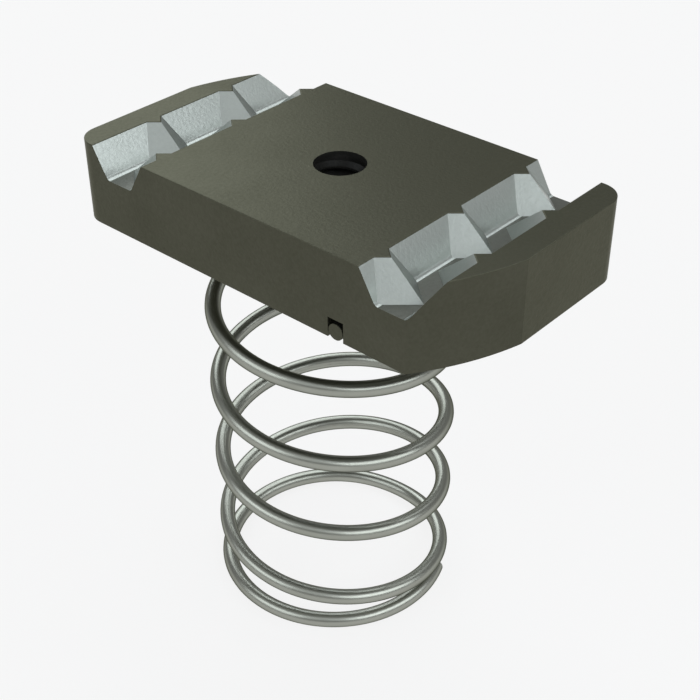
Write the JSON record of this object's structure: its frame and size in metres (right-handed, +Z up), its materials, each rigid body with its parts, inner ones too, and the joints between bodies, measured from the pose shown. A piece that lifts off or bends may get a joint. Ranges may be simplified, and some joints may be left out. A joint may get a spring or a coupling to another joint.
{
  "type": "spring channel nut",
  "caption": "Spring channel nut: a steel plate with toothed grooves for the channel's lips, a tapped hole, arc-cut corners and a coil spring held in a slot in its underside.",
  "frame": {"origin": "on the tapped hole's axis, in the nut's top face", "axes": "+X along the nut, +Y across it, +Z up along the hole, out of the toothed face; the spring hangs towards -Z"},
  "size_m": [0.0346, 0.019, 0.0369],
  "materials": {
    "dark_steel": "matt, with a fine rolled grain; lighter bare metal on the groove walls and teeth",
    "spring_steel": "smooth drawn wire, glossy"
  },
  "bodies": {
    "root": {"nut_body": "dark_steel", "spring": "spring_steel"}
  },
  "joints": []
}
